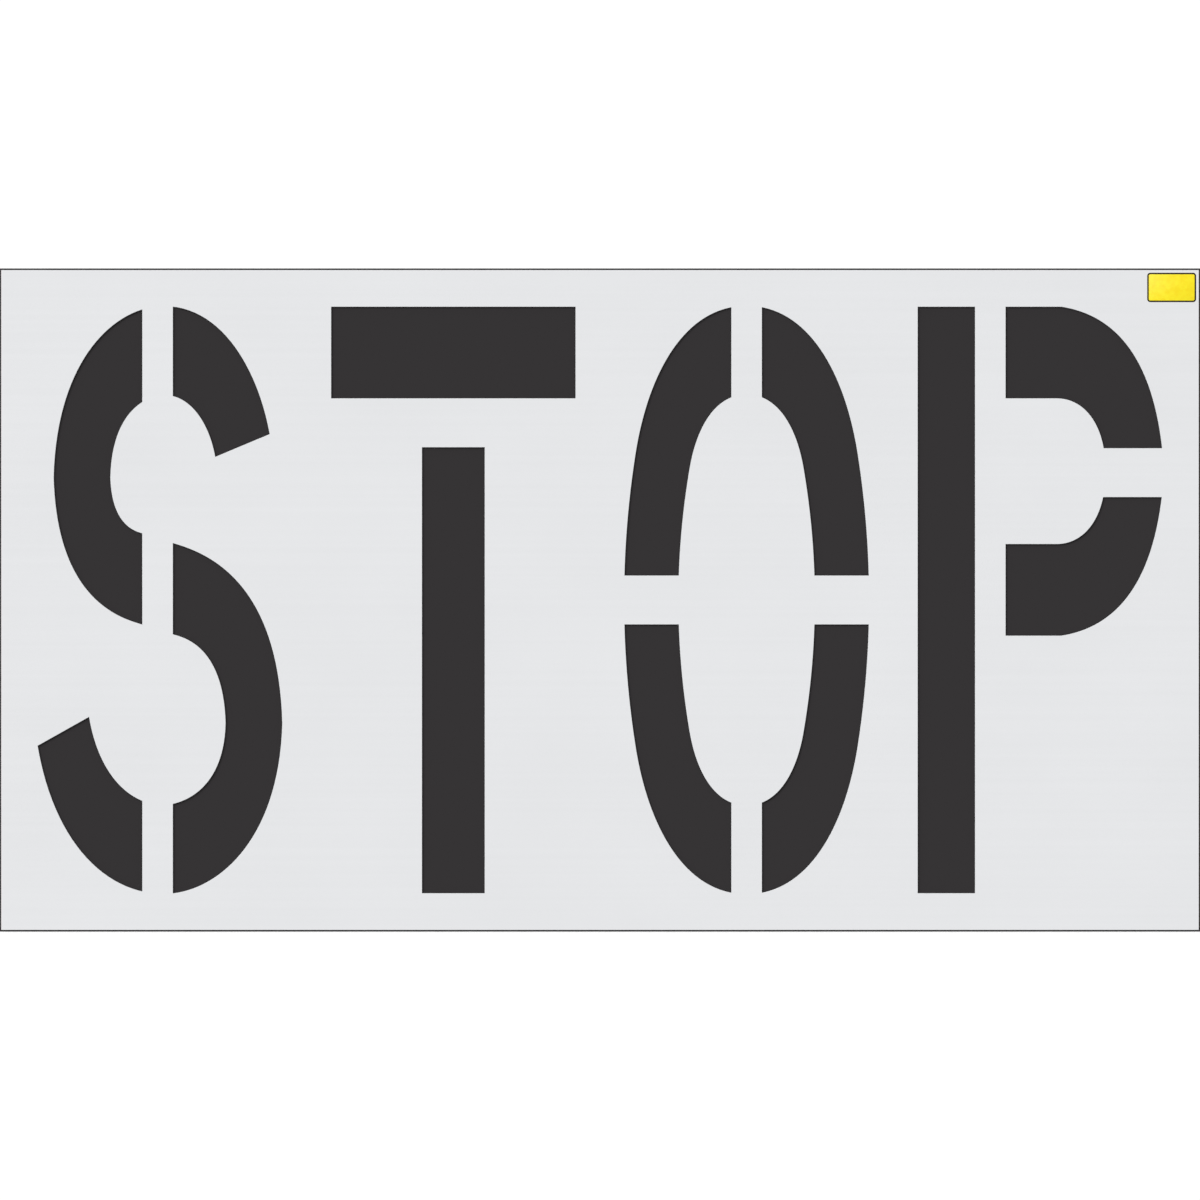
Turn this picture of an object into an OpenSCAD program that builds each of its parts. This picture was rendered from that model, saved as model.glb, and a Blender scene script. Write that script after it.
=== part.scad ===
// Pavement stencil: one flat plastic sheet, cut through with the four letters of STOP.
// Ties of uncut sheet cross each letter and hold the islands inside the round ones.
// A small printed label is stuck on the top face, in the upper right corner.
// The sheet lies on the road: +X runs along the word, +Y up the letters, +Z away from the road.
// The origin is the middle of the underside.

/* [Sheet] */
// Thickness of the plastic sheet, an eighth of an inch
sheet_t = 3.175; // [1.5:0.025:6.5]
// Uncut margin from the letters to each edge of the sheet, 1.5 inches
edge_margin = 38.1; // [25:0.1:80]

/* [Lettering] */
// Height of every letter, 24 inches
letter_h = 609.6; // [500:0.1:900]
// Width of every letter, 10 inches
letter_w = 254; // [220:0.1:400]
// Uncut gap between two letters, 2 inches
letter_gap = 50.8; // [25:0.1:100]
// Width of the upright ties, 1.25 inches
tie_w = 31.75; // [15:0.05:50]
// Height of the level ties, 2 inches
tie_h = 50.8; // [20:0.1:80]

/* [Letter S] */
// Level stroke at the top and foot of the S
s_bar_h = 92.4; // [60:0.1:110]
// Height of the sloping stroke of the spine of the S
s_spine_h = 94.9; // [60:0.1:110]
// Upright stroke at the side of each bowl of the S
s_side_w = 58.9; // [40:0.1:70]
// Upright stroke at the side of the upper hooked end of the S
s_upper_hook_w = 58.9; // [40:0.1:70]
// Upright stroke at the side of the lower hooked end of the S
s_lower_hook_w = 55.9; // [40:0.1:70]
// How far the upper bowl stands in from the left edge of the letter
s_upper_inset = 16.4; // [0:0.1:30]
// How far the crests of the top and foot lie right of the middle of the letter
s_crest_shift = 3.7; // [0:0.1:15]
// How far those crests pass the letter height, inside the tie
s_overshoot = 0.7; // [0:0.1:5]
// How far the middle of the spine lies above half height
s_spine_rise = 16.8; // [0:0.1:40]
// Slope of the spine, which falls to the right through the tie, in degrees
s_spine_slope = 17.6; // [0:0.1:25]
// Straight run of the spine's edges on the outside of the bowls, from the tie to where they curve
s_outer_run = 7.7; // [0:0.1:25]
// How far inside the tie the spine's edges on the inside of the bowls start to curve
s_inner_lap = 1.3; // [0.2:0.1:8]
// How far the widest point of the upper bowl lies below the middle of that bowl
s_upper_sag = 9.3; // [0:0.1:40]
// How far the widest point of the lower bowl lies below the middle of that bowl
s_lower_sag = 7.8; // [0:0.1:40]
// Lean of the edges of each bowl, above and below its widest point, in degrees
s_side_lean = 1.5; // [0:0.1:5]
// How far the tie stands left of the middle of the letter
s_tie_shift = 2.6; // [0:0.1:10]
// Drop from the top of the letter to the outer corner of the upper end
s_upper_end_drop = 132.7; // [110:0.1:150]
// Distance from the right edge of the letter to the outer corner of the upper end
s_upper_end_inset = 13.2; // [0:0.1:30]
// Slope of the cut across the upper end, in degrees
s_upper_end_slope = 22.5; // [0:0.1:35]
// Height of the outer corner of the lower end
s_lower_end_rise = 153.5; // [120:0.1:175]
// Slope of the cut across the lower end, in degrees
s_lower_end_slope = 29.3; // [0:0.1:35]
// Inset of the upper end's curve from the right edge of the letter, where it turns upright
s_upper_turn_inset = 9.1; // [0:0.1:20]
// Drop from the top of the letter to where the upper end's curve turns upright, past its cut
s_upper_turn_drop = 175.3; // [170:0.1:210]
// How far the lower end's curve passes the left edge of the letter, where it turns upright
s_lower_turn_out = 6.1; // [0:0.1:15]
// Height at which the lower end's curve turns upright, past its cut
s_lower_turn_rise = 226.2; // [205:0.1:250]

/* [Letter T] */
// Height of the bar across the top of the T, 3.75 inches
t_bar_h = 95.25; // [60:0.05:120]
// Width of the stem of the T
t_stem_w = 65.2; // [40:0.1:90]

/* [Letter O] */
// Level stroke at the top and foot of the O
o_bar_h = 92.2; // [60:0.1:120]
// Upright stroke at each side of the O
o_side_w = 56.4; // [40:0.1:80]
// How far the crests of the oval pass the letter height, inside the upright tie
o_overshoot = 1; // [0:0.1:5]
// How far the sides of the oval pass the letter width, inside the level tie
o_swell = 0.3; // [0:0.1:3]
// How far each flank of the O bows in, from half height to its shoulder
o_bow = 11.7; // [2:0.1:20]
// Height of the outer cap of the O, from its shoulder to its crest
o_outer_cap = 154.8; // [110:0.1:200]
// Height of the inner cap of the O, from its shoulder to its crest
o_inner_cap = 76.5; // [50:0.1:110]

/* [Letter P] */
// Width of the stem of the P
p_stem_w = 59.6; // [40:0.1:80]
// Height of the bowl of the P
p_bowl_h = 341.9; // [280:0.1:450]
// Level stroke at the top and foot of the bowl, 3.75 inches
p_bar_h = 95.25; // [60:0.05:115]
// Upright stroke at the side of the bowl, measured inside the level tie
p_side_w = 60.8; // [40:0.1:80]
// How far the side of the bowl passes the letter width, inside the level tie
p_swell = 2.1; // [0:0.1:5]
// Lean of the outer edge of the bowl at its middle, inside the level tie, in degrees
p_side_lean = 3.4; // [0:0.1:8]
// Straight run of the outer edge of the bowl, from the tie to where it starts to curve
p_outer_run = 58; // [10:0.1:70]
// Turn of the outer edge of the bowl where its straight run ends, in degrees
p_outer_turn = 8.9; // [0:0.1:15]
// Straight run of the inner edge of the bowl, from the tie to where it starts to curve
p_inner_run = 53.2; // [10:0.1:70]
// How far the level tie lies below the middle of the bowl
p_tie_drop = 1.5; // [0:0.1:10]

/* [Label] */
// Width of the label, 2 inches
label_w = 50.8; // [30:0.1:80]
// Height of the label, 1.2 inches
label_h = 30.5; // [15:0.1:33]
// Distance from the label to the two nearest edges of the sheet
label_edge = 2.8; // [0.5:0.1:4]
// Radius of the corners of the label
label_corner_r = 3.2; // [0.5:0.1:6]
// Width of the printed border around the label
label_border_w = 1.6; // [0.8:0.1:2.5]
// Thickness of the adhesive under the label
adhesive_t = 0.05; // [0.03:0.01:0.2]
// Thickness of the vinyl film of the label
film_t = 0.15; // [0.05:0.01:0.4]
// Thickness of the printed ink
ink_t = 0.04; // [0.02:0.01:0.1]

/* [Hidden] */

sheet_colour = [0.90, 0.906, 0.914];
adhesive_colour = [0.85, 0.83, 0.72];
film_colour = [1.0, 0.92, 0.16];
ink_colour = [0.12, 0.11, 0.11];

// Straight pieces in each quarter curve, in each flank of the O and in each corner of the label
curve_steps = 32;
flank_steps = 12;
corner_steps = 8;
// How far a tie runs past the letter that it crosses
over = 10;

// Fullness of a quarter curve: [share along the level stroke, share along the upright stroke].
// A quarter of a true ellipse has 0.552 for both, and more draws the curve out towards a corner.
s_outer_full = [0.431, 0.700];
s_inner_full = [0.177, 0.897];
s_upper_hook_full = [0.668, 0.408];
s_lower_hook_full = [0.521, 0.666];
o_cap_full = [0.552, 0.552];
p_outer_full = [0.517, 0.695];
p_inner_full = [0.516, 0.687];

sheet_w = 4 * letter_w + 3 * letter_gap + 2 * edge_margin;
sheet_h = letter_h + 2 * edge_margin;
letter_pitch = letter_w + letter_gap;
letter_mid = letter_w / 2;
first_letter = [edge_margin - sheet_w / 2, edge_margin - sheet_h / 2];
label_place = [sheet_w / 2 - label_edge - label_w / 2, sheet_h / 2 - label_edge - label_h / 2];

// A point on the cubic curve from a to d, with handles b and c
function cubic(a, b, c, d, t) =
    pow(1 - t, 3) * a + 3 * pow(1 - t, 2) * t * b + 3 * (1 - t) * t * t * c + pow(t, 3) * d;

// Quarter of an oval, from its side, where it runs upright, to its crest, where it runs level.
// With a fall, it runs down to the right at its crest instead, by that much in each unit across.
// With a lean, it leans in at its side instead, by that much in each unit up or down.
function quarter(side, crest, full, fall = 0, lean = 0) =
    let (
        rise = full.y * (crest.y - side.y),
        run = full.x * (crest.x - side.x),
        inward = lean * abs(rise) * sign(run)
    )
    [for (i = [0 : curve_steps])
        cubic(side, side + [inward, rise], crest - run * [1, -fall], crest, i / curve_steps)];

function reversed(points) = [for (i = [len(points) - 1 : -1 : 0]) points[i]];

function without_last(points) = [for (i = [0 : len(points) - 2]) points[i]];

function flipped(points, by) = [for (p = points) [p.x * by.x, p.y * by.y]];

// Half of an oval, from one crest round its side to the other crest, each with its own fall
function half(from, side, to, full, falls = [0, 0], lean = 0) =
    concat(
        without_last(reversed(quarter(side, from, full, falls[0], lean))),
        quarter(side, to, full, falls[1], lean));

// A closed oval about the origin, with semi-axes r: its flanks bow in up to the shoulders,
// and a cap runs on from there, along the lean of the flank, to the crest
function oval(r, bow, cap, full) =
    let (
        shoulder = [r.x - bow, r.y - cap],
        flank = [for (i = [0 : flank_steps - 1])
            let (t = i / flank_steps) [r.x - bow * t * t, shoulder.y * t]],
        right = concat(flank, quarter(shoulder, [0, r.y], full, lean = 2 * bow / shoulder.y)),
        upper = concat(without_last(right), flipped(reversed(right), [-1, 1]))
    )
    concat(without_last(upper), without_last(flipped(upper, [-1, -1])));

// A rectangle about the origin, with rounded corners
function rounded(size, r) =
    [for (corner = [0 : 3], i = [0 : corner_steps])
        let (
            turn = 90 * (corner + i / corner_steps),
            across = corner == 0 || corner == 3 ? 1 : -1,
            up = corner < 2 ? 1 : -1
        )
        [across * (size.x / 2 - r) + r * cos(turn), up * (size.y / 2 - r) + r * sin(turn)]];

// The upright tie that crosses a letter at x
module upright_tie(x) {
    translate([x - tie_w / 2, -over]) square([tie_w, letter_h + 2 * over]);
}

// Everything beyond a sloping cut through a point: below it, or above it
module beyond_cut(corner, slope, above) {
    reach = letter_w;
    translate(corner) rotate(slope) translate([-reach, above ? 0 : -reach]) square([2 * reach, reach]);
}

// The S: two bowls on a sloping spine, each with a hooked end, parted by one upright tie
module letter_s() {
    tie_x = letter_mid - s_tie_shift;
    spine = letter_h / 2 + s_spine_rise;
    upper_edge = s_spine_h / 2;
    lower_edge = -s_spine_h / 2;
    fall = tan(s_spine_slope);
    falls = [0, fall];
    lean = tan(s_side_lean);
    outer_x = tie_w / 2 + s_outer_run;
    inner_x = tie_w / 2 - s_inner_lap;
    // a point of the spine: x right of the middle of the tie, y from the middle of the stroke
    function spine_at(x, y) = [tie_x + x, spine - fall * x + y];
    upper_y = (letter_h + spine + lower_edge) / 2 - s_upper_sag;
    lower_y = (spine + upper_edge) / 2 - s_lower_sag;
    top = [letter_mid + s_crest_shift, letter_h + s_overshoot];
    foot = [letter_mid + s_crest_shift, -s_overshoot];
    stroke = [0, s_bar_h];
    upper_turn = [letter_w - s_upper_turn_inset, letter_h - s_upper_turn_drop];
    lower_turn = [-s_lower_turn_out, s_lower_turn_rise];
    upper_hook = [s_upper_hook_w, 0];
    lower_hook = [s_lower_hook_w, 0];
    difference() {
        union() {
            // upper bowl, on the left
            polygon(concat(
                half(top, [s_upper_inset, upper_y], spine_at(-outer_x, lower_edge),
                    s_outer_full, falls, lean),
                [spine_at(0, lower_edge), spine_at(0, upper_edge)],
                reversed(half(top - stroke, [s_upper_inset + s_side_w, upper_y],
                    spine_at(-inner_x, upper_edge), s_inner_full, falls, lean))));
            // lower bowl, on the right
            polygon(concat(
                half(foot, [letter_w, lower_y], spine_at(outer_x, upper_edge),
                    s_outer_full, falls, lean),
                [spine_at(0, upper_edge), spine_at(0, lower_edge)],
                reversed(half(foot + stroke, [letter_w - s_side_w, lower_y],
                    spine_at(inner_x, lower_edge), s_inner_full, falls, lean))));
            // upper hooked end
            difference() {
                polygon(concat(
                    quarter(upper_turn, top, s_upper_hook_full),
                    reversed(quarter(upper_turn - upper_hook, top - stroke, s_upper_hook_full))));
                beyond_cut([letter_w - s_upper_end_inset, letter_h - s_upper_end_drop],
                    s_upper_end_slope, above = false);
            }
            // lower hooked end
            difference() {
                polygon(concat(
                    quarter(lower_turn, foot, s_lower_hook_full),
                    reversed(quarter(lower_turn + lower_hook, foot + stroke, s_lower_hook_full))));
                beyond_cut([0, s_lower_end_rise], s_lower_end_slope, above = true);
            }
        }
        upright_tie(tie_x);
    }
}

// The T: a bar and a stem, parted by one level tie
module letter_t() {
    translate([0, letter_h - t_bar_h]) square([letter_w, t_bar_h]);
    translate([letter_mid - t_stem_w / 2, 0]) square([t_stem_w, letter_h - t_bar_h - tie_h]);
}

// The O: an oval ring, parted by an upright and a level tie that hold its island
module letter_o() {
    middle = [letter_mid, letter_h / 2];
    outer = middle + [o_swell, o_overshoot];
    inner = outer - [o_side_w, o_bar_h];
    difference() {
        translate(middle) polygon(oval(outer, o_bow, o_outer_cap, o_cap_full));
        translate(middle) polygon(oval(inner, o_bow, o_inner_cap, o_cap_full));
        upright_tie(letter_mid);
        translate([-over, (letter_h - tie_h) / 2]) square([letter_w + 2 * over, tie_h]);
    }
}

// The P: a stem and a bowl, parted by an upright tie, with a level tie across the bowl
module letter_p() {
    bowl_x = p_stem_w + tie_w;
    foot_y = letter_h - p_bowl_h;
    middle_y = letter_h - p_bowl_h / 2;
    outer_x = bowl_x + p_outer_run;
    inner_x = bowl_x + p_inner_run;
    inner_top = letter_h - p_bar_h;
    inner_foot = foot_y + p_bar_h;
    outer_side = [letter_w + p_swell, middle_y];
    inner_side = outer_side - [p_side_w, 0];
    fall = tan(p_outer_turn);
    square([p_stem_w, letter_h]);
    difference() {
        polygon(concat(
            [[bowl_x, foot_y]],
            half([outer_x, foot_y], outer_side, [outer_x, letter_h], p_outer_full,
                [-fall, fall], tan(p_side_lean)),
            [[bowl_x, letter_h], [bowl_x, inner_top]],
            half([inner_x, inner_top], inner_side, [inner_x, inner_foot], p_inner_full),
            [[bowl_x, inner_foot]]));
        translate([bowl_x - over, middle_y - p_tie_drop - tie_h / 2]) square([letter_w, tie_h]);
    }
}

module letter_at(place) {
    translate(first_letter + [place * letter_pitch, 0]) children();
}

module stencil_sheet() {
    color(sheet_colour) linear_extrude(sheet_t) difference() {
        square([sheet_w, sheet_h], center = true);
        letter_at(0) letter_s();
        letter_at(1) letter_t();
        letter_at(2) letter_o();
        letter_at(3) letter_p();
    }
}

// One layer of the label: its full outline, from height z, t thick
module label_layer(z, t) {
    translate([label_place.x, label_place.y, z]) linear_extrude(t)
        polygon(rounded([label_w, label_h], label_corner_r));
}

module label_adhesive() {
    color(adhesive_colour) label_layer(sheet_t, adhesive_t);
}

module label_film() {
    color(film_colour) label_layer(sheet_t + adhesive_t, film_t);
}

module label_border() {
    inner = [label_w, label_h] - 2 * [label_border_w, label_border_w];
    inner_r = max(label_corner_r - label_border_w, label_border_w / 4);
    color(ink_colour) translate([label_place.x, label_place.y, sheet_t + adhesive_t + film_t])
        linear_extrude(ink_t) difference() {
            polygon(rounded([label_w, label_h], label_corner_r));
            polygon(rounded(inner, inner_r));
        }
}

stencil_sheet();
label_adhesive();
label_film();
label_border();
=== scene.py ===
# %% [markdown]
# # A stencil for painting a word on a road
#
# The object is one flat sheet of polyethylene, about 1.2 m wide and 3 mm thick. Four letters are cut right
# through it, and ties of uncut sheet hold the islands inside them. A small yellow label is stuck on one
# corner. The sheet is laid on the road and paint is rolled through the letters.
#
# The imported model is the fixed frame: every piece below sits where its solid sits, in metres.

# %% Load the frame
import math

import bpy
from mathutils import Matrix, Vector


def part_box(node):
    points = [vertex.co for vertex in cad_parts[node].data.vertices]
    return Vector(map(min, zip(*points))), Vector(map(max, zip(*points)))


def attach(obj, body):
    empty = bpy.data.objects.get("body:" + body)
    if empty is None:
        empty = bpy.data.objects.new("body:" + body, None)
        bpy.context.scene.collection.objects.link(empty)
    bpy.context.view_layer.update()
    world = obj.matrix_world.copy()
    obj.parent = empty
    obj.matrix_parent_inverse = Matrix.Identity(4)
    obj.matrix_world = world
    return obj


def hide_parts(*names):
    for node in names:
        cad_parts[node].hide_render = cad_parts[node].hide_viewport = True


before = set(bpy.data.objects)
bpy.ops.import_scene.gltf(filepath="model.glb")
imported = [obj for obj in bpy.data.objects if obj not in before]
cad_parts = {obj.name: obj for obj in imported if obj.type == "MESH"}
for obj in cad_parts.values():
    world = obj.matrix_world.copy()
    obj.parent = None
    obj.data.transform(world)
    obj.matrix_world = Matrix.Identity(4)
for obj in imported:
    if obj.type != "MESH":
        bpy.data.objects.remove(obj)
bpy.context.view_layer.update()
mm = 0.001
sheet_low, sheet_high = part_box("stencil_sheet")
sheet_size = sheet_high - sheet_low
print("nodes:", sorted(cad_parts))
print("sheet size in mm:", [round(side / mm, 3) for side in sheet_size])

# %% [markdown]
# ## The camera
#
# The photograph looks straight down on the sheet and shows no perspective at all. A very long lens, far
# above the sheet, gives that view: the walls of the cut letters stay hidden, as they are in the photograph.
# An orthographic camera would too, but a lens also suits the views from other sides. The photograph's
# scale, in pixels to the inch, sets how much the lens takes in.

# %% Look straight down through a long lens
inch = 25.4 * mm
photo_px = 1200
photo_px_per_inch = 24.44
camera_rise = 10.0
camera_sight = 100.0

view_width = photo_px / photo_px_per_inch * inch
bpy.ops.object.camera_add(location=(0, 0, sheet_high.z + camera_rise), rotation=(0, 0, 0))
camera = bpy.context.active_object
camera.name = "overhead_camera"
camera.data.lens = camera.data.sensor_width * camera_rise / view_width
camera.data.clip_end = camera_sight
bpy.context.scene.camera = camera
print("view width in mm:", round(view_width / mm, 1), "lens in mm:", round(camera.data.lens, 1))

# %% [markdown]
# ## The stencil sheet
#
# On the real stencil, a router cuts the letters out of a flat sheet, and a scraper takes the burr off the
# rims. The outline could be drawn again from curves, but the solid already has it exactly, so a copy of its
# mesh is the better start. An operator works on whatever is selected, and the import leaves every node
# selected, so everything is deselected first, and then the copy alone is selected and made active.
#
# The copy comes as loose triangles. Merging joins them, and also closes the few steps beside the ties that
# are shorter than the rim's radius. A limited dissolve then turns the flat triangles back into a few large
# faces, so that a bevel has clean rims to run along.

# %% Copy the sheet and clean the copy
weld = 0.3 * mm
flat_within = math.radians(0.05)

sheet = bpy.data.objects.new("sheet_of_polyethylene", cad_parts["stencil_sheet"].data.copy())
bpy.context.scene.collection.objects.link(sheet)
bpy.ops.object.select_all(action="DESELECT")
sheet.select_set(True)
bpy.context.view_layer.objects.active = sheet
sheet.data.materials.clear()
bpy.ops.mesh.customdata_custom_splitnormals_clear()
bpy.ops.object.mode_set(mode="EDIT")
bpy.ops.mesh.select_all(action="SELECT")
bpy.ops.mesh.remove_doubles(threshold=weld)
bpy.ops.mesh.dissolve_limited(angle_limit=flat_within)
bpy.ops.object.mode_set(mode="OBJECT")
print("cleaned sheet:", len(sheet.data.vertices), "points,", len(sheet.data.polygons), "faces")

# %% [markdown]
# The scraped rims are rounded by a fraction of a millimetre. Each rim could be picked and bevelled by hand,
# but a bevel modifier finds them all by angle, and leaves the many shallow steps around a curve as they
# are. Its loop slide would pull some corners along the seams between the large faces, so it is off.
# Hardened normals keep those faces perfectly flat to the light, so that only the rim itself turns.

# %% Round the rims
rim_radius = 0.3 * mm
rim_steps = 3
sharper_than = math.radians(40)

rounding = sheet.modifiers.new("scraped_rims", "BEVEL")
rounding.width = rim_radius
rounding.segments = rim_steps
rounding.limit_method = "ANGLE"
rounding.angle_limit = sharper_than
rounding.loop_slide = False
rounding.harden_normals = True
bpy.ops.object.shade_smooth_by_angle(angle=sharper_than)
bpy.ops.object.modifier_apply(modifier=rounding.name)
print("rounded sheet:", len(sheet.data.vertices), "points,", len(sheet.data.polygons), "faces")

# %% [markdown]
# ## Colours
#
# Colours read off a photograph are display levels from 0 to 255. Shaders work in linear light, so each one
# is converted as it is written down, by the sRGB curve that displays use. The script then keeps the levels
# that a reader can compare with the photograph.

# %% Display colours to linear ones


def linear(level):
    """One display level, 0 to 255, in linear light."""
    share = level / 255
    return share / 12.92 if share <= 0.04045 else ((share + 0.055) / 1.055) ** 2.4


def paint(red, green, blue):
    """A display colour as a shader takes it."""
    return (linear(red), linear(green), linear(blue), 1.0)


print("the sheet's grey of 230 is", round(linear(230), 3), "in linear light")

# %% [markdown]
# ## Noises for the finishes
#
# Every finish below is one Principled shader whose colour, roughness and bump come from noises. A painted
# image could hold such marks too, but a noise needs no unwrapping, has no seams and stays sharp in a close
# view. The noises read Object coordinates, which are metres here. A Mapping node of the Texture type
# divides by its scale, so the scale is simply how long a blotch is along X, Y and Z.

# %% Start a finish and give it noises


def socket(finish, name):
    """An input of a finish's Principled shader."""
    return finish.node_tree.nodes["Principled BSDF"].inputs[name]


def new_finish(name, shine):
    """A material whose shader has its gloss set."""
    finish = bpy.data.materials.new(name)
    finish.use_nodes = True
    socket(finish, "Specular IOR Level").default_value = shine
    return finish


def even(length):
    """The same blotch length along X, Y and Z."""
    return (length, length, length)


def blotches(tree, lengths, detail=2.0, turn=0.0):
    """Noise from 0 to 1, with its own blotch length along X, Y and Z, turned about Z."""
    coordinates = tree.nodes.new("ShaderNodeTexCoord")
    mapping = tree.nodes.new("ShaderNodeMapping")
    mapping.vector_type = "TEXTURE"
    mapping.inputs["Rotation"].default_value = (0, 0, turn)
    mapping.inputs["Scale"].default_value = lengths
    texture = tree.nodes.new("ShaderNodeTexNoise")
    texture.inputs["Scale"].default_value = 1.0
    texture.inputs["Detail"].default_value = detail
    tree.links.new(coordinates.outputs["Object"], mapping.inputs["Vector"])
    tree.links.new(mapping.outputs["Vector"], texture.inputs["Vector"])
    return texture.outputs[0]


print("finish helpers:", new_finish.__name__, blotches.__name__)

# %% [markdown]
# A noise mostly stays between 0.3 and 0.7. One helper stretches that span, or another, to the values that a
# finish needs. A second one adds several patterns, each with its own weight.

# %% Stretch and add patterns


def ranged(tree, value, to_low, to_high, low=0.3, high=0.7):
    """A value whose span from low to high is stretched to two new ends."""
    node = tree.nodes.new("ShaderNodeMapRange")
    limits = {"From Min": low, "From Max": high, "To Min": to_low, "To Max": to_high}
    for setting, limit in limits.items():
        node.inputs[setting].default_value = limit
    tree.links.new(value, node.inputs["Value"])
    return node.outputs["Result"]


def weighted(tree, *parts):
    """A sum of values, each with its weight."""
    total = None
    for value, weight in parts:
        node = tree.nodes.new("ShaderNodeMath")
        node.operation = "MULTIPLY_ADD"
        value_in, weight_in, sum_in = node.inputs
        tree.links.new(value, value_in)
        weight_in.default_value = weight
        sum_in.default_value = 0.0
        if total:
            tree.links.new(total, sum_in)
        total = node.outputs[0]
    return total


print("pattern helpers:", ranged.__name__, weighted.__name__)

# %% [markdown]
# The last helpers lead a pattern to the shader. The colour runs along a ramp between a dark and a light
# tone, the roughness takes a value as it is, and a bump raises the surface by a real depth in metres.

# %% Lead patterns to the shader
darkest_at = 0.35
lightest_at = 0.65


def shaded(finish, pattern, dark, light):
    """Colour a finish by a ramp from a dark tone to a light one."""
    tree = finish.node_tree
    ramp = tree.nodes.new("ShaderNodeValToRGB")
    stops = ((darkest_at, dark), (lightest_at, light))
    for stop, (place, colour) in zip(ramp.color_ramp.elements, stops):
        stop.position = place
        stop.color = colour
    tree.links.new(pattern, ramp.inputs["Fac"])
    tree.links.new(ramp.outputs["Color"], socket(finish, "Base Color"))


def roughened(finish, value):
    """Give a finish its roughness."""
    finish.node_tree.links.new(value, socket(finish, "Roughness"))


def bumped(finish, height, depth):
    """Raise the surface of a finish by a height from 0 to 1, at most depth metres."""
    tree = finish.node_tree
    bump = tree.nodes.new("ShaderNodeBump")
    bump.inputs["Strength"].default_value = 1.0
    bump.inputs["Distance"].default_value = depth
    tree.links.new(height, bump.inputs["Height"])
    tree.links.new(bump.outputs["Normal"], socket(finish, "Normal"))


print("shader helpers:", shaded.__name__, roughened.__name__, bumped.__name__)

# %% [markdown]
# ## Polyethylene: the flat faces
#
# The sheet is extruded through a wide slot and pressed between rollers. That leaves a waxy satin skin with
# faint lines along its length, soft clouds where the rollers pressed unevenly, and a fine grain. Handling
# adds a few hairline scuffs. A plain colour would look like paper in a low view, so each of these marks has
# a noise of its own size. All of them stay close to one pale cool grey, as the photograph shows it.

# %% Satin skin of the sheet
satin_shine = 0.35
scuff_turns = (math.radians(-17), math.radians(38))


def hairlines(tree, turn):
    """Sparse scuffs that run one way: the crests of a noise that is drawn out along that way."""
    streaks = blotches(tree, (180 * mm, 1.6 * mm, 180 * mm), detail=1.0, turn=turn)
    return ranged(tree, streaks, low=0.72, high=0.78, to_low=0, to_high=1)


def polyethylene_skin():
    finish = new_finish("polyethylene_skin", satin_shine)
    tree = finish.node_tree
    clouds = blotches(tree, (200 * mm, 140 * mm, 200 * mm), detail=3.0)
    slot_lines = blotches(tree, (1400 * mm, 6 * mm, 1000 * mm))
    haze = blotches(tree, even(16 * mm), detail=4.0)
    grain = blotches(tree, even(0.7 * mm))
    scuffs = weighted(tree, *((hairlines(tree, turn), 0.5) for turn in scuff_turns))
    tone = weighted(tree, (clouds, 0.6), (slot_lines, 0.4))
    dullness = weighted(tree, (ranged(tree, haze, to_low=0.38, to_high=0.48), 1.0), (scuffs, 0.2))
    relief = weighted(tree, (slot_lines, 0.15), (grain, 0.35), (scuffs, -0.2))
    shaded(finish, tone, dark=paint(226, 227, 229), light=paint(229, 230, 232))
    roughened(finish, dullness)
    bumped(finish, relief, depth=0.25 * mm)
    return finish


skin = polyethylene_skin()
print("nodes in the skin's finish:", len(skin.node_tree.nodes))

# %% [markdown]
# ## Polyethylene: rims and cut walls
#
# The router leaves the walls duller than the skin, with fine marks that run along the cut and short chatter
# marks across it. A cut runs level all round the letters, so marks along it are thin layers in Z, and
# chatter is a pattern drawn out along Z. Where the burr was scraped off, the rim is stretched and turns a
# little whiter.

# %% Cut and scraped finishes


def polyethylene_cut():
    finish = new_finish("polyethylene_cut", satin_shine)
    tree = finish.node_tree
    along = blotches(tree, (30 * mm, 30 * mm, 0.2 * mm))
    chatter = blotches(tree, (1.1 * mm, 1.1 * mm, 16 * mm))
    marks = weighted(tree, (along, 0.6), (chatter, 0.4))
    shaded(finish, marks, dark=paint(218, 219, 222), light=paint(229, 230, 232))
    roughened(finish, ranged(tree, marks, to_low=0.52, to_high=0.68))
    bumped(finish, marks, depth=0.06 * mm)
    return finish


def polyethylene_rim():
    finish = new_finish("polyethylene_rim", satin_shine)
    tree = finish.node_tree
    nicks = blotches(tree, even(4 * mm), detail=3.0)
    shaded(finish, nicks, dark=paint(229, 230, 232), light=paint(236, 237, 238))
    roughened(finish, ranged(tree, nicks, to_low=0.46, to_high=0.6))
    bumped(finish, nicks, depth=0.05 * mm)
    return finish


cut_wall = polyethylene_cut()
scraped_rim = polyethylene_rim()
print("finishes made:", cut_wall.name, scraped_rim.name)

# %% [markdown]
# A face gets its finish by the way it points: straight up or down is skin, level is a cut wall, and
# anything between the two is a rim. Picking the faces by hand would be lost at the next change of the
# outline.

# %% Share the finishes out by direction
flat_tilt = 0.99
level_tilt = 0.1
sheet_finishes = (skin, cut_wall, scraped_rim)


def finish_of(face):
    """The finish of one face of the sheet, by the way it points."""
    tilt = abs(face.normal.z)
    if tilt > flat_tilt:
        return skin
    if tilt < level_tilt:
        return cut_wall
    return scraped_rim


for finish in sheet_finishes:
    sheet.data.materials.append(finish)
for face in sheet.data.polygons:
    face.material_index = sheet_finishes.index(finish_of(face))
for index, finish in enumerate(sheet_finishes):
    print(finish.name, "on faces:", sum(face.material_index == index for face in sheet.data.polygons))

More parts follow.
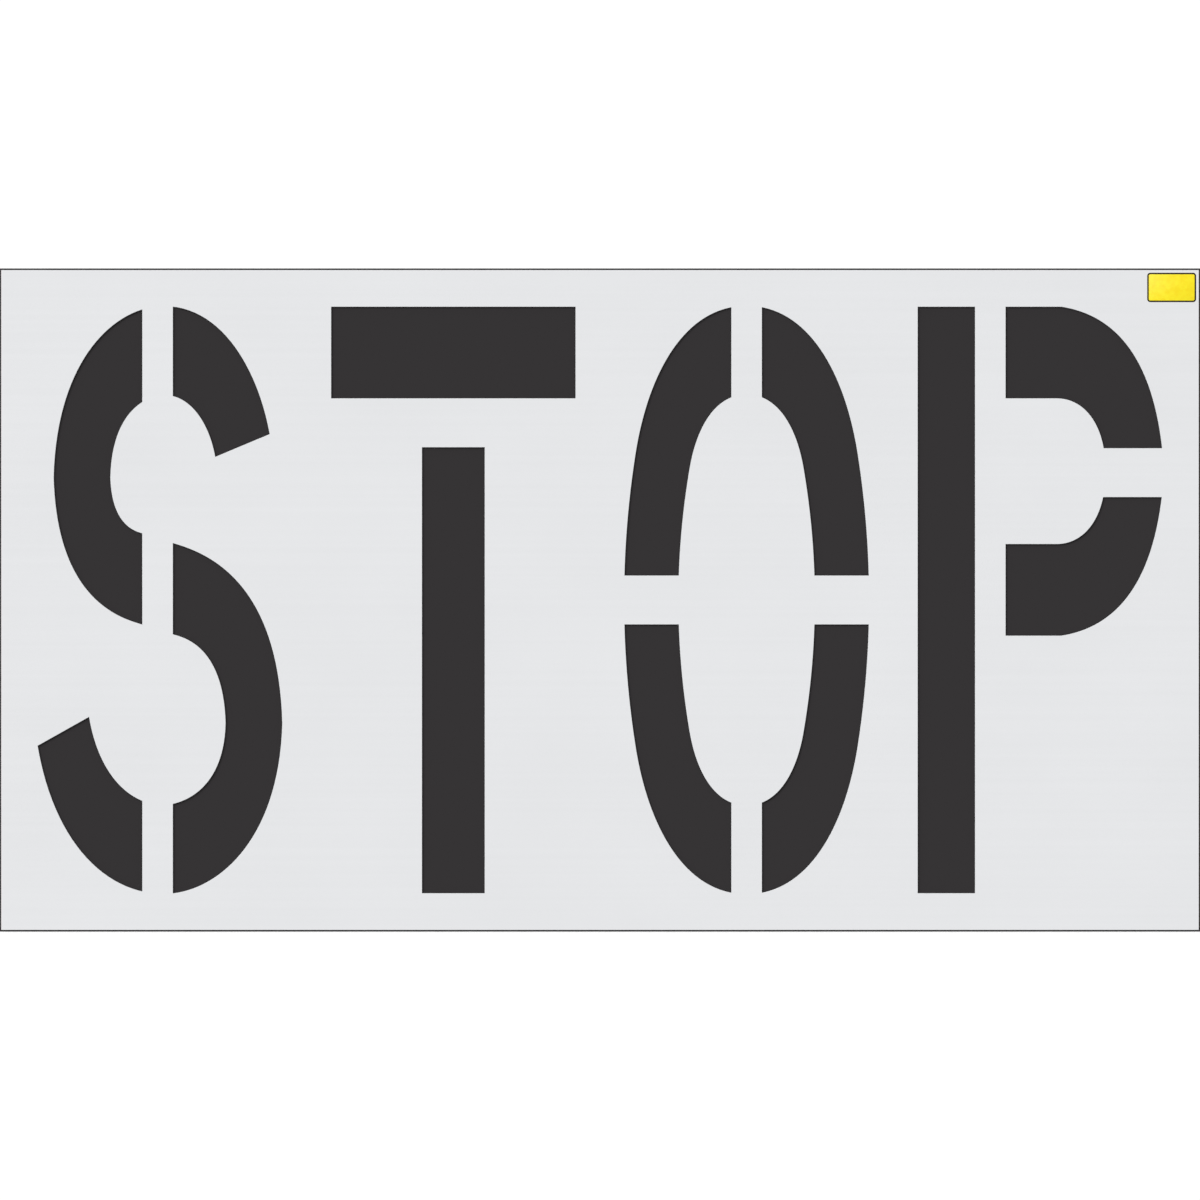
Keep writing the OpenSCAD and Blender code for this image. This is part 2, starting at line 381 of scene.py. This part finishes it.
# %% [markdown]
# Every finished piece takes the place of its solid and rides on the object's one body, so one helper does
# that for each of them. The sheet is done and goes first.

# %% Attach the sheet


def finish_piece(piece, node):
    """Let a finished piece stand for its node and ride on the one body."""
    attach(piece, "root")
    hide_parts(node)
    print(piece.name, "stands for", node, "with", len(piece.data.polygons), "faces")


finish_piece(sheet, "stencil_sheet")

# %% [markdown]
# ## The label's outline
#
# The label is a piece of yellow vinyl with round corners, thinner than a fingernail, with a black border
# printed on it. Its outline could be an extruded curve. A block of the label's size, with its four upright
# edges bevelled, gives the same die-cut shape and is closed from the start. The film and the printed border
# share it.
#
# By hand, the upright edges would be clicked one by one. In code, a test on the heights of an edge's two
# ends picks them, and goes on working when the label's size changes.

# %% Make a block and pick parts of it


def block_at(name, place, size):
    """A block with its size and place in its mesh."""
    bpy.ops.object.select_all(action="DESELECT")
    bpy.ops.mesh.primitive_cube_add(size=1, location=place)
    block = bpy.context.active_object
    block.name = name
    block.scale = size
    bpy.ops.object.transform_apply(location=True, rotation=True, scale=True)
    return block


def pick(piece, kind, test):
    """Go into edit mode with only those edges or faces selected that pass a test."""
    bpy.ops.object.mode_set(mode="EDIT")
    bpy.ops.mesh.select_mode(type=kind)
    bpy.ops.mesh.select_all(action="DESELECT")
    bpy.ops.object.mode_set(mode="OBJECT")
    parts = piece.data.edges if kind == "EDGE" else piece.data.polygons
    for part in parts:
        part.select = test(part)
    print("picked", sum(part.select for part in parts), "of", len(parts), "in", piece.name)
    bpy.ops.object.mode_set(mode="EDIT")


def heights(piece, edge):
    """The heights of an edge's two ends."""
    return [piece.data.vertices[index].co.z for index in edge.vertices]


print("block helpers:", block_at.__name__, pick.__name__)

# %% [markdown]
# The film and the border both start from such a block, which fills the box of its solid. A die rounds the
# corners of the real label in one stroke, and one bevel of the four upright edges does the same here.

# %% A flat block with round corners
label_corner_radius = 3.2 * mm
label_corner_steps = 10


def rounded_block(name, node):
    """A block that fills a node's box, with its upright edges rounded."""
    low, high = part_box(node)
    block = block_at(name, (low + high) / 2, high - low)
    pick(block, "EDGE", lambda edge: max(heights(block, edge)) > min(heights(block, edge)))
    bpy.ops.mesh.bevel(offset=label_corner_radius, segments=label_corner_steps, affect="EDGES")
    bpy.ops.object.mode_set(mode="OBJECT")
    print(name, "in mm:", [round(side / mm, 3) for side in block.dimensions])
    return block


film = rounded_block("label_of_yellow_vinyl", "label_film")

# %% [markdown]
# ## The vinyl film
#
# A cutting die presses the film's top rim down a little. A second, much smaller bevel along that rim stands
# for it, and catches the light as a soft line.

# %% Film with a pressed rim
pressed_rim = 0.04 * mm
pressed_steps = 2

film_middle = sum(corner.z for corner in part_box("label_film")) / 2
pick(film, "EDGE", lambda edge: min(heights(film, edge)) > film_middle)
bpy.ops.mesh.bevel(offset=pressed_rim, segments=pressed_steps, affect="EDGES")
bpy.ops.object.mode_set(mode="OBJECT")
bpy.ops.object.shade_smooth_by_angle(angle=sharper_than)
finish_piece(film, "label_film")

# %% [markdown]
# Vinyl is smoother than the sheet, with a slight orange-peel skin and a colour that is laid down a little
# unevenly. A coarse noise carries the colour and a fine one the peel.

# %% Yellow vinyl
vinyl_shine = 0.3


def yellow_vinyl():
    finish = new_finish("yellow_vinyl", vinyl_shine)
    tree = finish.node_tree
    mottle = blotches(tree, even(5 * mm), detail=3.0)
    peel = blotches(tree, even(0.8 * mm))
    shaded(finish, mottle, dark=paint(249, 223, 16), light=paint(252, 234, 28))
    roughened(finish, ranged(tree, mottle, to_low=0.28, to_high=0.38))
    bumped(finish, peel, depth=0.02 * mm)
    return finish


film.data.materials.append(yellow_vinyl())
print("film finish:", film.active_material.name)

# %% [markdown]
# ## The printed border
#
# The border is a ring of ink. It could be painted by the film's own material, but printed ink stands up
# from the film and has another gloss, so it is a piece. An inset draws its inner outline on the top and the
# bottom of a second rounded block, and a bridge between the two inner faces opens the middle. An inset
# keeps its distance all round, so the inner corners come out smaller than the outer ones, as on a printed
# line of even width.

# %% Ring of ink
border_width = 1.6 * mm

border = rounded_block("border_of_black_ink", "label_border")
pick(border, "FACE", lambda face: abs(face.normal.z) > flat_tilt)
bpy.ops.mesh.inset(thickness=border_width, depth=0)
bpy.ops.mesh.bridge_edge_loops()
bpy.ops.object.mode_set(mode="OBJECT")
bpy.ops.object.shade_smooth_by_angle(angle=sharper_than)
finish_piece(border, "label_border")

# %% [markdown]
# Screen ink dries duller than vinyl, covers a little unevenly, and keeps the fine ripple of the mesh that
# it was pressed through. So one noise carries the colour and the gloss, and a much finer one the ripple.

# %% Black ink
ink_shine = 0.2


def black_ink():
    finish = new_finish("black_ink", ink_shine)
    tree = finish.node_tree
    cover = blotches(tree, even(2 * mm), detail=3.0)
    ripple = blotches(tree, even(0.3 * mm), detail=1.0)
    shaded(finish, cover, dark=paint(24, 19, 10), light=paint(36, 29, 16))
    roughened(finish, ranged(tree, cover, to_low=0.5, to_high=0.62))
    bumped(finish, ripple, depth=0.01 * mm)
    return finish


border.data.materials.append(black_ink())
print("border finish:", border.active_material.name)

# %% [markdown]
# ## The glue
#
# The glue under the film shows only as a thin waxy line at its edge. Its solid has the right shape already,
# so it stays as it is and gets a finish: clear glue that has yellowed a little, with small bubbles.

# %% Clear glue
glue_shine = 0.5


def clear_glue():
    finish = new_finish("clear_glue", glue_shine)
    tree = finish.node_tree
    bubbles = blotches(tree, even(1.2 * mm))
    shaded(finish, bubbles, dark=paint(214, 208, 182), light=paint(232, 227, 205))
    roughened(finish, ranged(tree, bubbles, to_low=0.2, to_high=0.35))
    bumped(finish, bubbles, depth=0.01 * mm)
    return finish


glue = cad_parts["label_adhesive"]
glue.data.materials.clear()
glue.data.materials.append(clear_glue())
print("glue finish:", glue.active_material.name)

# %% [markdown]
# ## The mat under the sheet
#
# The stage isn't part of the object. A thin dark mat lies under the sheet, so the letters read dark, as
# they do in the photograph, and a hair of it shows past the edges as the photograph's thin dark outline. A
# darker floor would do for the letters, but the photograph's background is white.
# That rim past the edges is a painted shadow: a dark strip that stands in for the thin contact shadow along
# the sheet's edges.

# %% Dark mat
mat_gap = 0.1 * mm
mat_thickness = 0.2 * mm
# The margin past the sheet is a painted shadow: a dark strip along every edge, in place of the sheet's
# contact shadow on the floor.
painted_shadow_margin = 1.8 * mm


def matt_colour(name, colour):
    """A plain colour without any gloss, for the stage."""
    finish = new_finish(name, shine=0.0)
    socket(finish, "Base Color").default_value = colour
    socket(finish, "Roughness").default_value = 1.0
    return finish


mat_place = (0, 0, -mat_gap - mat_thickness / 2)
mat_size = (sheet_size.x + 2 * painted_shadow_margin, sheet_size.y + 2 * painted_shadow_margin, mat_thickness)
mat = block_at("dark_mat", mat_place, mat_size)
mat.data.materials.append(matt_colour("dark_felt", paint(54, 52, 53)))
print("mat in mm:", [round(side / mm, 2) for side in mat.dimensions])

# %% [markdown]
# ## The floor
#
# The floor is pale and very large, so that low views have no edge in sight. Its own colour is almost white.
# More light would whiten the object too, so the floor has a little glow instead, which only the camera and
# reflections see, and it still takes the object's shadow.

# %% Pale floor
floor_width = 120.0
floor_lift = 0.14
white = (1, 1, 1, 1)


def seen_directly(tree):
    """1 for rays from the camera, a reflection or through glass, and 0 for light on the object."""
    path = tree.nodes.new("ShaderNodeLightPath")
    seen = path.outputs["Is Camera Ray"]
    for kind in ("Is Glossy Ray", "Is Transmission Ray"):
        node = tree.nodes.new("ShaderNodeMath")
        node.operation = "MAXIMUM"
        tree.links.new(seen, node.inputs[0])
        tree.links.new(path.outputs[kind], node.inputs[1])
        seen = node.outputs[0]
    return seen


def glowing_floor():
    finish = matt_colour("pale_floor", paint(244, 244, 244))
    tree = finish.node_tree
    glow = ranged(tree, seen_directly(tree), low=0, high=1, to_low=0, to_high=floor_lift)
    socket(finish, "Emission Color").default_value = white
    tree.links.new(glow, socket(finish, "Emission Strength"))
    return finish


bpy.ops.mesh.primitive_plane_add(size=floor_width, location=(0, 0, -mat_gap - mat_thickness))
floor = bpy.context.active_object
floor.name = "pale_floor"
floor.data.materials.append(glowing_floor())
print("floor in m:", floor_width, "below the sheet in mm:", round(-floor.location.z / mm, 2))

# %% [markdown]
# ## Light
#
# A soft sun stands in for a large studio lamp, up and to the left, and an even white sky fills in the rest.
# The two together bring a white surface to exactly white: a sun of strength pi, square on, or a sky of
# strength 1 would each do that alone. So a colour renders about as it is written. The camera and
# reflections see the sky at full white.

# %% Sun and sky
sky_share = 0.55
sun_tilt = math.radians(35)
sun_turn = math.radians(225)
sun_softness = math.radians(35)

bpy.ops.object.light_add(type="SUN", rotation=(sun_tilt, 0, sun_turn))
sun = bpy.context.active_object
sun.name = "soft_sun"
sun.data.energy = math.pi * (1 - sky_share) / math.cos(sun_tilt)
sun.data.angle = sun_softness

world = bpy.data.worlds.new("white_sky")
world.use_nodes = True
bpy.context.scene.world = world
tree = world.node_tree
sky = tree.nodes["Background"]
sky.inputs["Color"].default_value = white
sky_strength = ranged(tree, seen_directly(tree), low=0, high=1, to_low=sky_share, to_high=1)
tree.links.new(sky_strength, sky.inputs["Strength"])
bpy.context.scene.view_settings.view_transform = "Standard"
print("sun strength:", round(sun.data.energy, 3), "sky share:", sky_share)
